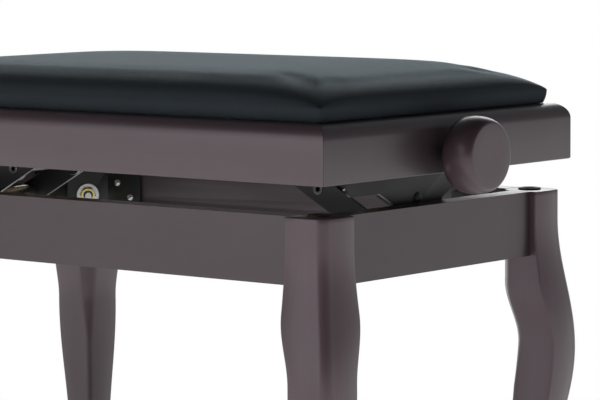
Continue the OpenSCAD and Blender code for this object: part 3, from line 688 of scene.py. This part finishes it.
def add_glides():
    form = Form()
    pin_end = LEG_FOOT + GLIDE_PIN_LONG
    for solid in islands("foot_glides"):
        centre = (solid.min(0) + solid.max(0)) / 2
        radius = (solid.max(0)[0] - solid.min(0)[0]) / 2
        profile = [(0, 0), (0, radius - 2 * MM), (0.5 * MM, radius - 0.8 * MM), (1.3 * MM, radius),
                   (LEG_FOOT, radius), (LEG_FOOT, GLIDE_PIN), (pin_end, GLIDE_PIN), (pin_end, 0)]
        verts, faces = lathe(profile, 40)
        form.put(verts, faces, Matrix.Translation((centre[0], centre[1], 0)))
    finish_piece("glides", form.mesh("glides"), [BLACK_PLASTIC], "foot_glides", 35)


# ---------- fasteners ----------

SCREW_HEAD_H = 2.4 * MM


def screw_places(node):
    """Where each wood screw of a node sits: the seat of its head and its way into the wood."""
    for solid in islands(node):
        low, high = solid.min(0), solid.max(0)
        centre = (low + high) / 2
        axis = int(np.argmax(high - low))
        out = np.linalg.norm(np.delete(solid - centre, axis, axis=1), axis=1)
        wide = out > 0.7 * out.max()
        sign = -1 if solid[wide][:, axis].mean() > centre[axis] else 1
        direction = Vector((0, 0, 0))
        direction[axis] = sign
        head_end = low[axis] if sign > 0 else high[axis]
        seat = Vector(centre)
        seat[axis] = head_end + sign * SCREW_HEAD_H
        yield seat, direction


def screw_solid():
    """Round head with a cross recess, and a plain shank; the head's seat is at z = 0."""
    radius, height, shank, reach = 3.5 * MM, SCREW_HEAD_H, 1.7 * MM, 11 * MM
    around, steps = 48, 9
    arm_half, arm_end, deep = 0.55 * MM, 2.0 * MM, 1.1 * MM
    verts = [(0, 0, -height + deep)]
    rows = [[0]]
    for k in range(1, steps + 1):
        rows.append(range(len(verts), len(verts) + around))
        dome = -height * math.sqrt(max(0.0, 1 - (k / steps) ** 2.4))
        for x, y, z in circle(radius * k / steps, dome, around):
            near, far = min(abs(x), abs(y)), max(abs(x), abs(y))
            if near < arm_half and far < arm_end:
                z += deep * min(1.0, (arm_end - far) / (0.6 * MM))
            verts.append((x, y, z))
    rows += [range(len(verts), len(verts) + around), [len(verts) + around]]
    verts += circle(shank, 0, around) + [(0, 0, reach)]
    return verts, bands(rows)


def add_screws():
    verts, faces = screw_solid()
    for node in ("bracket_screws", "hinge_bracket_screws", "rail_screws", "end_plate_screws"):
        form = Form()
        for count, (seat, direction) in enumerate(screw_places(node)):
            spin = Matrix.Rotation(0.7 * count, 4, "Z")
            form.put(verts, faces, toward(seat, direction) @ spin)
        finish_piece(node + "_recessed", form.mesh(node + "_recessed"), [ZINC_STEEL], node, 30)


def thread_solid(length, radius, pitch, depth, lead, around=24):
    """Threaded rod from z = 0 to length; a negative lead is a left-hand thread."""
    phases = [(0.0, 0.0), (0.38, 0.0), (0.5, 1.0), (0.88, 1.0)]
    rows = [(radius - depth * drop, (k + share) * pitch)
            for k in range(int(length / pitch)) for share, drop in phases]
    verts = []
    for r, start in rows:
        for i, (x, y, z) in enumerate(circle(r, start, around)):
            verts.append((x, y, min(length, max(0.0, z + lead * i / around))))
    faces = []
    shift = len(phases) * round(lead / pitch)
    count = len(rows)
    for k in range(count - 1):
        low, high = k * around, (k + 1) * around
        for i in range(around - 1):
            faces.append([low + i, low + i + 1, high + i + 1, high + i])
        near, far = k + shift, k + 1 + shift
        if 0 <= near < count and 0 <= far < count:
            faces.append([high - 1, near * around, far * around, high + around - 1])
    return verts, faces


WASHER_HALF, WASHER_OUT, WASHER_IN = 0.8 * MM, 11 * MM, 4.2 * MM
NUT_ACROSS, NUT_THICK, NUT_BORE = 13 * MM, 6.5 * MM, 4.0 * MM
BOLT_OUT, BOLT_ROOT = 3.95 * MM, 3.5 * MM
BOLT_LONG, BOLT_PAST_NUT = 48 * MM, 5 * MM


def add_hangers():
    """Hanger bolts with their washers and hexagon nuts, on the slant across each corner."""
    bolts, washers, nuts = Form(), Form(), Form()
    ring = [(-WASHER_HALF, WASHER_IN), (-WASHER_HALF, WASHER_OUT - 0.6 * MM), (-0.4 * MM, WASHER_OUT),
            (WASHER_HALF, WASHER_OUT), (WASHER_HALF, WASHER_IN)]
    rod = [(0, 0), (0, 3.0 * MM), (0.9 * MM, BOLT_OUT - 0.05 * MM), (1.4 * MM, BOLT_OUT - 0.05 * MM)]
    for root in (1.6 * MM, 2.9 * MM, 4.2 * MM):
        rod += [(root, BOLT_ROOT), (root + 0.6 * MM, BOLT_OUT), (root + 1.0 * MM, BOLT_OUT)]
    rod += [(BOLT_LONG, BOLT_OUT), (BOLT_LONG, 0)]
    for solid in islands("hanger_washers"):
        centre = Vector(solid.mean(0))
        outward = Vector((math.copysign(1, centre.x), math.copysign(1, centre.y), 0)).normalized()
        washers.put(*lathe_ring(ring), toward(centre, outward))
        nut_centre = centre - outward * (WASHER_HALF + NUT_THICK / 2)
        nuts.put(*nut_solid(NUT_ACROSS, NUT_THICK, NUT_BORE), toward(nut_centre, outward))
        tail = centre - outward * (WASHER_HALF + NUT_THICK + BOLT_PAST_NUT)
        bolts.put(*lathe(rod, 28), toward(tail, outward))
    for form, name, metal_used, node, smooth in (
            (bolts, "hanger_bolts_threaded", ZINC_STEEL, "hanger_bolts", 30),
            (washers, "hanger_washers_edged", ZINC_STEEL, "hanger_washers", 30),
            (nuts, "hanger_nuts_chamfered", YELLOW_ZINC, "hanger_nuts", 25)):
        finish_piece(name, form.mesh(name), [metal_used], node, smooth)


def nut_solid(across, thickness, bore):
    """Hexagon nut about +Z, its corners chamfered at both ends, its hole countersunk."""
    around, corner = 48, across / math.sqrt(3)
    chamfer = 0.5 * (corner - across / 2)

    def hexagon(limit):
        ring = []
        for i in range(around):
            a = 2 * math.pi * i / around
            within = (a % (math.pi / 3)) - math.pi / 6
            ring.append(min(limit, across / 2 / math.cos(within)))
        return ring

    half = thickness / 2
    full, cut = hexagon(corner), hexagon(across / 2 * 1.005)
    rows = [(-half, [bore + 0.7 * MM] * around), (-half, cut), (-half + chamfer, full),
            (half - chamfer, full), (half, cut), (half, [bore + 0.7 * MM] * around),
            (half - 0.6 * MM, [bore] * around), (-half + 0.6 * MM, [bore] * around)]
    verts = []
    for height, radii in rows:
        verts += [(x * r, y * r, z) for r, (x, y, z) in zip(radii, circle(1, height, around))]
    numbers = number_rows(len(rows), around)
    return verts, bands(numbers + numbers[:1])


# ---------- lift ----------

def mark_narrow_faces(piece, slot_index):
    """Gives a flat bar's narrow faces, which run round its outline, another material."""
    for face in piece.data.polygons:
        if abs(face.normal.y) < 0.5:
            face.material_index = slot_index


def add_lift():
    for end in ("right", "left"):
        for side in ("front", "back"):
            finished(f"corner_bracket_{side}_{end}", 0.5 * MM)
            for kind in ("main_arm", "link"):
                arm = finished(f"{kind}_{end}_{side}", 0.35 * MM, [BLACK_STEEL, CUT_EDGE], 2)
                mark_narrow_faces(arm, 1)
        finished(f"hinge_bracket_{end}", 0.5 * MM)
        finished(f"hinge_pin_{end}", 0.5 * MM)
        finished(f"arm_spacer_{end}", 0.4 * MM)
        finished(f"cross_bar_{end}", 0.6 * MM)
        finished(f"spindle_nut_{end}", 0.4 * MM)
        finished(f"end_plate_{end}", 0.5 * MM)
    for node in ("seat_rail_front", "seat_rail_back"):
        finished(node, 0.5 * MM)
    finished("link_pins", 0.35 * MM)
    finished("spindle_bushes", 0.4 * MM)
    finished("spindle_collars", 0.5 * MM)
    add_axles()
    add_tongue_rivets()


def add_axles():
    """Tubular axles, their ends rolled outwards over the arms."""
    for end in ("right", "left"):
        node = "scissor_axle_" + end
        low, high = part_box(node)
        centre = (low + high) / 2
        half, head, bore, body = (high.y - low.y) / 2, (high.z - low.z) / 2, 2.0 * MM, 4.0 * MM
        seat = half - 0.9 * MM
        roll = [(seat, body), (seat, head - 0.3 * MM), (seat + 0.3 * MM, head),
                (seat + 0.6 * MM, head - 0.15 * MM), (half, head - 1.1 * MM), (half, bore + 1.2 * MM),
                (seat + 0.6 * MM, bore + 0.35 * MM), (seat + 0.2 * MM, bore)]
        loop = roll + [(-h, r) for h, r in reversed(roll)]
        form = Form()
        form.put(*lathe_ring(loop, 40), toward(centre, Y))
        finish_piece(node + "_rolled", form.mesh(node + "_rolled"), [DULL_STEEL], node, 40)


def add_tongue_rivets():
    form = Form()
    for solid in islands("tongue_rivets"):
        low, high = solid.min(0), solid.max(0)
        sign = 1 if low[0] > 0 else -1
        inner, outer = (low[0], high[0]) if sign > 0 else (high[0], low[0])
        length = abs(outer - inner)
        tail, shank, dome = 1.2 * MM, 2.7 * MM, 1.8 * MM
        seat = length - dome
        profile = [(0, 0), (0, 3.4 * MM), (0.4 * MM, 4.0 * MM), (tail, 4.0 * MM), (tail, shank),
                   (seat, shank), (seat, 5.4 * MM), (seat + 0.35 * dome, 5.1 * MM),
                   (seat + 0.7 * dome, 3.9 * MM), (seat + 0.93 * dome, 2.0 * MM), (length, 0)]
        centre = (inner, (low[1] + high[1]) / 2, (low[2] + high[2]) / 2)
        form.put(*lathe(profile, 36), toward(centre, (sign, 0, 0)))
    finish_piece("tongue_rivets_domed", form.mesh("tongue_rivets_domed"), [BLACK_STEEL], "tongue_rivets", 35)


# ---------- spindle and knobs ----------

THREAD_FROM = 92 * MM
THREAD_TO = 208 * MM
THREAD_PITCH = 2.5 * MM
THREAD_LEAD = 5 * MM


def add_spindle():
    """Steel spindle with a right-hand thread at one end and a left-hand thread at the other."""
    low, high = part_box("spindle")
    radius = (high.z - low.z) / 2
    core = radius - 1.1 * MM
    half = [(THREAD_FROM, radius), (THREAD_FROM + 1 * MM, core), (THREAD_TO - 1 * MM, core),
            (THREAD_TO, radius), (high.x, radius), (high.x, 0)]
    rod = [(-h, r) for h, r in reversed(half)] + half
    form = Form()
    form.put(*lathe(rod, 32), toward((0, 0, SPINDLE_Z), X))
    length = THREAD_TO - THREAD_FROM
    verts, faces = thread_solid(length, radius, THREAD_PITCH, 1.0 * MM, THREAD_LEAD)
    form.put(verts, faces, toward((THREAD_FROM, 0, SPINDLE_Z), X))
    mirrored = [(x, y, -z) for x, y, z in verts]
    form.put(mirrored, [face[::-1] for face in faces], toward((-THREAD_FROM, 0, SPINDLE_Z), X))
    finish_piece("spindle_threaded", form.mesh("spindle_threaded"), [DULL_STEEL], "spindle", 30)


KNOB_WIDE_AT = 13 * MM         # how far from its back the knob is widest
KNOB_FACE = 26 * MM            # radius of its flat face, and of its back
KNOB_BACK = 27.5 * MM


def add_knobs():
    """Turned wooden knobs: a bulged side that runs into a flat, slightly dished face."""
    for sign, end in END_NAME.items():
        low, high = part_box("knob_" + end)
        thick, radius = high.x - low.x, (high.z - low.z) / 2
        back = low.x if sign > 0 else high.x
        turns = [math.radians(90 * i / 18) for i in range(19)]
        rise = [(KNOB_WIDE_AT * (1 - math.cos(a)), KNOB_BACK + (radius - KNOB_BACK) * math.sin(a))
                for a in turns]
        fall = [(KNOB_WIDE_AT + (thick - KNOB_WIDE_AT) * math.sin(a),
                 KNOB_FACE + (radius - KNOB_FACE) * math.cos(a)) for a in turns[1:]]
        face = [(thick - 0.15 * MM, KNOB_FACE * 0.6), (thick - 0.2 * MM, 0)]
        profile = [(0, 0)] + rise + fall + face
        form = Form()
        form.put(*lathe(profile, 112), toward((back, 0, SPINDLE_Z), (sign, 0, 0)))
        node = "knob_" + end
        wood = wood_stain_and_painted_shade("x", 8.0 + sign, node)
        finish_piece(node + "_turned", form.mesh(node + "_turned"), [wood], node, 50)


# ---------- seat ----------

RIM_THICK = 20 * MM
RIM_ROUND = 13 * MM
RIM_EDGE = 1.2 * MM


def rim_profile(depth):
    """A rim board's cross-section as (distance outwards, height), ending at its inner top edge."""
    outline = [(depth - RIM_THICK, RIM_LOW), (depth - RIM_EDGE, RIM_LOW),
               (depth - 0.35 * RIM_EDGE, RIM_LOW + 0.35 * RIM_EDGE), (depth, RIM_LOW + RIM_EDGE)]
    outline += arc(depth - RIM_ROUND, RIM_HIGH - RIM_ROUND, RIM_ROUND, 0, 90, 18)
    return outline + [(depth - RIM_THICK, RIM_HIGH)]


def add_rim():
    for sign in (1, -1):
        for node, half, depth, along in ((f"rim_{SIDE_NAME[sign]}", RIM_HALF_X, RIM_HALF_Y, "x"),
                                         (f"rim_{END_NAME[sign]}", RIM_HALF_Y, RIM_HALF_X, "y")):
            profile = rim_profile(depth)
            verts, faces = rings_solid([[(end * (half - (depth - out)), out, z) for out, z in profile]
                                        for end in (-1, 1)])
            if along == "x":
                verts = [(x, sign * y, z) for x, y, z in verts]
            else:
                verts = [(sign * y, x, z) for x, y, z in verts]
            mesh = mesh_from(node + "_moulded", verts, faces)
            wood = wood_stain_and_painted_shade(along, 9.0 + 2 * sign + (along == "y"), node)
            piece = finish_piece(node + "_moulded", mesh, [wood], node, 35)
            soften(piece, 0.35 * MM, 2, angle=50)


def add_seat_board():
    finished("seat_board", 0.5 * MM)


# ---------- cushion ----------

PAD_EDGE = 12 * MM             # height of the cushion's upright sides
PAD_RISE = 25.5 * MM           # and of its crown above them
PAD_START = 1.0 * MM           # the crown starts this much low, and the cloth swells into its place
PAD_LIMIT = 1.2 * MM           # how far a point of the cloth may move,
PAD_FADE = 30 * MM             # and less than that so near the border
PAD_CORNER = 2 * MM            # the sewn corners are this round, seen from above
PAD_TUCK = 2.5 * MM            # how far the foot is drawn in under the widest line
DOME_X, DOME_Y = 6.3, 7.2


def pad_height(u, v):
    """The crown's height over the sides, from 0 to 1, at shares from -1 to 1 of the half sizes."""
    return math.sqrt(max(0.0, (1 - abs(u) ** DOME_X) * (1 - abs(v) ** DOME_Y)))


def pad_shares(count):
    """Shares from -1 to 1, closer together towards both ends, where the crown turns down."""
    even = [2 * k / count - 1 for k in range(count + 1)]
    return [0.25 * t + 0.75 * math.sin(math.pi / 2 * t) for t in even]


def pad_mesh():
    """The cushion's cover: a crowned top on a plain grid, its upright sides, and its foot.

    The border of the grid is the widest line. Its four corners are pulled in to a small curve."""
    low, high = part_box("cushion")
    half_x, half_y = high.x, high.y
    nx, ny = 84, 52
    shares_x, shares_y = pad_shares(nx), pad_shares(ny)

    def rounded(x, y):
        over_x, over_y = abs(x) - (half_x - PAD_CORNER), abs(y) - (half_y - PAD_CORNER)
        far = math.hypot(max(over_x, 0), max(over_y, 0))
        if over_x <= 0 or over_y <= 0 or far <= PAD_CORNER:
            return x, y
        pull = PAD_CORNER / far
        return (math.copysign(half_x - PAD_CORNER + over_x * pull, x),
                math.copysign(half_y - PAD_CORNER + over_y * pull, y))

    top = {}
    verts, faces = [], []
    for i, u in enumerate(shares_x):
        for j, v in enumerate(shares_y):
            top[i, j] = len(verts)
            x, y = rounded(u * half_x, v * half_y)
            verts.append((x, y, low.z + PAD_EDGE + (PAD_RISE - PAD_START) * pad_height(u, v)))
    for i in range(nx):
        for j in range(ny):
            faces.append([top[i, j], top[i + 1, j], top[i + 1, j + 1], top[i, j + 1]])
    border = ([(i, 0) for i in range(nx)] + [(nx, j) for j in range(ny)]
              + [(i, ny) for i in range(nx, 0, -1)] + [(0, j) for j in range(ny, 0, -1)])
    levels = [(0.93, 0.0), (0.6, 0.12), (0.3, 0.45), (0.06, 0.9), (0.0, 1.0), (0.0, 1.8), (0.0, 10.0)]
    rows = [[top[key] for key in border]]
    for height, tuck in levels:
        row = []
        for key in border:
            x, y = verts[top[key]][:2]
            row.append(len(verts))
            verts.append((x * (1 - tuck * PAD_TUCK / half_x), y * (1 - tuck * PAD_TUCK / half_y),
                          low.z + 0.2 * MM + height * (PAD_EDGE - 0.2 * MM)))
        rows.append(row)
    faces += bands(rows) + [rows[-1]]
    inner = [top[i, j] for i in range(1, nx) for j in range(1, ny)]
    return mesh_from("pad", verts, faces), inner


def swell(piece, free):
    """Blows the pad up a little as cloth, held along its border and its sides, and keeps the result."""
    mesh = piece.data
    start = np.empty(len(mesh.vertices) * 3)
    mesh.vertices.foreach_get("co", start)
    start = start.reshape(-1, 3)
    held = piece.vertex_groups.new(name="held")
    held.add(sorted(set(range(len(mesh.vertices))) - set(free)), 1.0, "REPLACE")
    cloth = piece.modifiers.new("cloth", "CLOTH")
    settings = cloth.settings
    settings.quality = 5
    settings.mass = 0.25
    settings.use_pressure = True
    settings.uniform_pressure_force = 4.0
    settings.tension_stiffness = settings.compression_stiffness = 18
    settings.bending_stiffness = 1.5
    settings.effector_weights.gravity = 0
    settings.vertex_group_mass = "held"
    cloth.collision_settings.use_self_collision = False
    scene = bpy.context.scene
    scene.frame_start, scene.frame_end = 1, 20
    for step in range(1, 21):
        scene.frame_set(step)
    evaluated = piece.evaluated_get(bpy.context.evaluated_depsgraph_get())
    moved = np.empty(len(mesh.vertices) * 3)
    evaluated.data.vertices.foreach_get("co", moved)
    moved = moved.reshape(-1, 3)
    shift = moved - start
    far = np.linalg.norm(shift, axis=1, keepdims=True)
    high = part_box("cushion")[1]
    inside = np.minimum(high.x - abs(start[:, :1]), high.y - abs(start[:, 1:2]))
    limit = PAD_LIMIT * np.clip(inside / PAD_FADE, 0.0, 1.0)
    shift *= np.minimum(1.0, limit / np.maximum(far, 1e-9))
    piece.modifiers.remove(cloth)
    mesh.vertices.foreach_set("co", (start + shift).ravel())
    mesh.update()
    scene.frame_set(1)


def add_cushion():
    cover, free = pad_mesh()
    pad = bpy.data.objects.new("cushion_velour", cover)
    bpy.context.scene.collection.objects.link(pad)
    swell(pad, free)
    smooth = pad.modifiers.new("subdivision", "SUBSURF")
    smooth.levels = smooth.render_levels = 1
    pad.data.materials.clear()
    pad.data.materials.append(VELOUR)
    pad.data.polygons.foreach_set("use_smooth", [True] * len(pad.data.polygons))
    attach(pad, BODY_OF["cushion"])
    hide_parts("cushion")
    return pad


# ---------- stage ----------

# brightness of the studio's walls, from straight behind the bench (0) round to the camera (1)
STUDIO_LEVELS = [(0.0, 1.0), (1.0, 0.01), (0.18, 0.60), (0.34, 0.20), (0.46, 0.16), (0.60, 0.22),
                 (0.88, 0.01)]
STUDIO_FRONT = (0.656, -0.753, 0.06)
CEILING_LEVEL = 0.17           # share of that brightness left overhead,
CEILING_FROM, CEILING_TO = 0.30, 0.75   # from and to these heights of the direction looked in
WHITE_TO = 0.40                # the floor is plain white from this far outside the bench,
WHITE_LEAST = 0.55             # and this much of it is plain white even right under the bench
FLOOR_GLOW = 2.1               # strength of the light that the floor itself gives, as a lit table does
SHADE_HALF = (0.23, 0.09, 0.0)   # the floor gives no light inside this rectangle under the bench,
SHADE_REACH = 0.26             # and its full light from this far outside it


def add_floor():
    """Plain white to the camera, softly shaded round the bench's feet, and clear when seen from below."""
    mesh = bpy.data.meshes.new("floor")
    half = 30
    corners = [(-half, -half, 0), (half, -half, 0), (half, half, 0), (-half, half, 0)]
    mesh.from_pydata(corners, [], [(0, 1, 2, 3)])
    floor = bpy.data.objects.new("floor", mesh)
    bpy.context.scene.collection.objects.link(floor)
    material = bpy.data.materials.new("studio_floor")
    tree = empty_tree(material)
    paint = add(tree, "ShaderNodeBsdfDiffuse", inputs={"Color": rgb(0.80, 0.80, 0.80)})
    plain = add(tree, "ShaderNodeEmission")
    rays = add(tree, "ShaderNodeLightPath").outputs
    mirrored = math_node(tree, "MAXIMUM", rays["Is Glossy Ray"], rays["Is Transmission Ray"])
    seen = math_node(tree, "MAXIMUM", rays["Is Camera Ray"], mirrored)
    bounced = math_node(tree, "SUBTRACT", 1.0, rays["Is Camera Ray"])
    feed(tree, spread(tree, rays["Is Diffuse Ray"], 1.0, FLOOR_GLOW), plain, "Strength")
    side = vector_math(tree, "ABSOLUTE", own_coordinates(tree))["Vector"]
    outside = vector_math(tree, "SUBTRACT", side, SHADE_HALF)["Vector"]
    beyond = vector_math(tree, "MAXIMUM", outside)["Vector"]
    gap = vector_math(tree, "LENGTH", beyond)["Value"]
    clear = map_range(tree, gap, 0.0, SHADE_REACH, kind="SMOOTHSTEP")
    away = map_range(tree, gap, 0.0, WHITE_TO, WHITE_LEAST, kind="SMOOTHSTEP")
    bright = math_node(tree, "MAXIMUM", math_node(tree, "MULTIPLY", seen, away),
                       math_node(tree, "MULTIPLY", bounced, clear))
    above = mix_shaders(tree, bright, paint.outputs["BSDF"], plain.outputs["Emission"])
    below = add(tree, "ShaderNodeNewGeometry").outputs["Backfacing"]
    through = add(tree, "ShaderNodeBsdfTransparent").outputs["BSDF"]
    out = add(tree, "ShaderNodeOutputMaterial")
    tree.links.new(mix_shaders(tree, below, above, through), out.inputs["Surface"])
    mesh.materials.append(material)


def add_lamp(name, place, aim, size, power):
    data = bpy.data.lights.new(name, "AREA")
    data.shape = "RECTANGLE"
    data.size, data.size_y = size
    data.energy = power
    lamp = bpy.data.objects.new(name, data)
    bpy.context.scene.collection.objects.link(lamp)
    lamp.location = place
    lamp.rotation_euler = (Vector(aim) - Vector(place)).to_track_quat("-Z", "Y").to_euler()


def add_world():
    """White behind the bench, lit by a pale studio that darkens towards the camera and the ceiling."""
    world = bpy.data.worlds.new("studio")
    bpy.context.scene.world = world
    tree = empty_tree(world)
    path = add(tree, "ShaderNodeLightPath")
    direction = add(tree, "ShaderNodeTexCoord").outputs["Generated"]
    towards = vector_math(tree, "DOT_PRODUCT", direction, STUDIO_FRONT)["Value"]
    around = add(tree, "ShaderNodeValToRGB")
    stops = around.color_ramp.elements
    for k, (place, level) in enumerate(STUDIO_LEVELS):
        stop = stops[k] if k < 2 else stops.new(place)
        stop.position, stop.color = place, rgb(level, level, level)
    feed(tree, map_range(tree, towards, -1.0, 1.0), around, "Fac")
    height = add(tree, "ShaderNodeSeparateXYZ")
    tree.links.new(direction, height.inputs[0])
    overhead = map_range(tree, height.outputs["Z"], CEILING_FROM, CEILING_TO, 1.0, CEILING_LEVEL,
                         "SMOOTHSTEP")
    grey = add(tree, "ShaderNodeBackground", inputs={"Color": rgb(0.94, 0.96, 1.0)})
    feed(tree, math_node(tree, "MULTIPLY", around.outputs["Color"], overhead), grey, "Strength")
    white = add(tree, "ShaderNodeBackground", inputs={"Color": rgb(1, 1, 1)})
    out = add(tree, "ShaderNodeOutputWorld")
    shown = mix_shaders(tree, path.outputs["Is Camera Ray"], grey.outputs["Background"],
                        white.outputs["Background"])
    tree.links.new(shown, out.inputs["Surface"])


def add_stage():
    add_floor()
    add_world()
    add_lamp("front_softbox", (-1.1, -2.9, 1.0), (0, 0, 0.35), (2.4, 1.8), 19)
    add_lamp("back_softbox", (-1.7, 2.5, 1.5), (0, 0, 0.45), (2.4, 1.2), 26)
    bpy.context.scene.view_settings.view_transform = "Standard"


# ---------- the whole bench ----------

add_camera()
add_stage()
add_legs()
add_aprons()
add_plugs()
add_glides()
add_screws()
add_hangers()
add_lift()
add_spindle()
add_knobs()
add_rim()
add_seat_board()
add_cushion()
